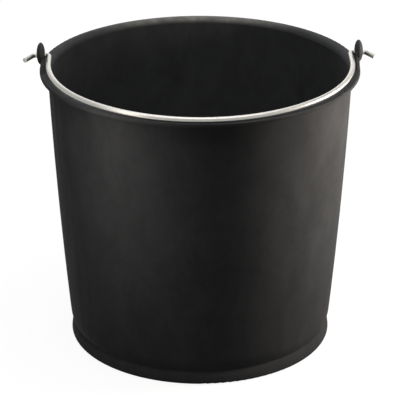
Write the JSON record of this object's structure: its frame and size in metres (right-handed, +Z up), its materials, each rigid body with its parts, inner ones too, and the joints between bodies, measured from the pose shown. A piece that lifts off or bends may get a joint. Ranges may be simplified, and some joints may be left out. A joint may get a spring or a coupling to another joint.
{
  "type": "plastic bucket",
  "caption": "Round tapering black plastic bucket with a flanged rim, a foot ring, upright ears and a swinging steel wire bail.",
  "frame": {"origin": "centre of the foot ring, on the floor that the bucket stands on", "axes": "+Z up along the bucket's axis, the two ears on X, the folded bail to the front at -Y"},
  "size_m": [0.3254, 0.296, 0.2908],
  "materials": {
    "black_plastic": "matt black moulded polyethylene",
    "bright_wire": "bright drawn and zinc-plated steel wire"
  },
  "bodies": {
    "bucket": {"shell": "black_plastic"},
    "handle": {"bail": "bright_wire"}
  },
  "joints": [
    {"name": "bail_swing", "type": "hinge", "parent": "bucket", "child": "handle", "pos_m": [0, 0, 0.279], "axis": [-1, 0, 0], "range_deg": [0, 187.4]}
  ]
}
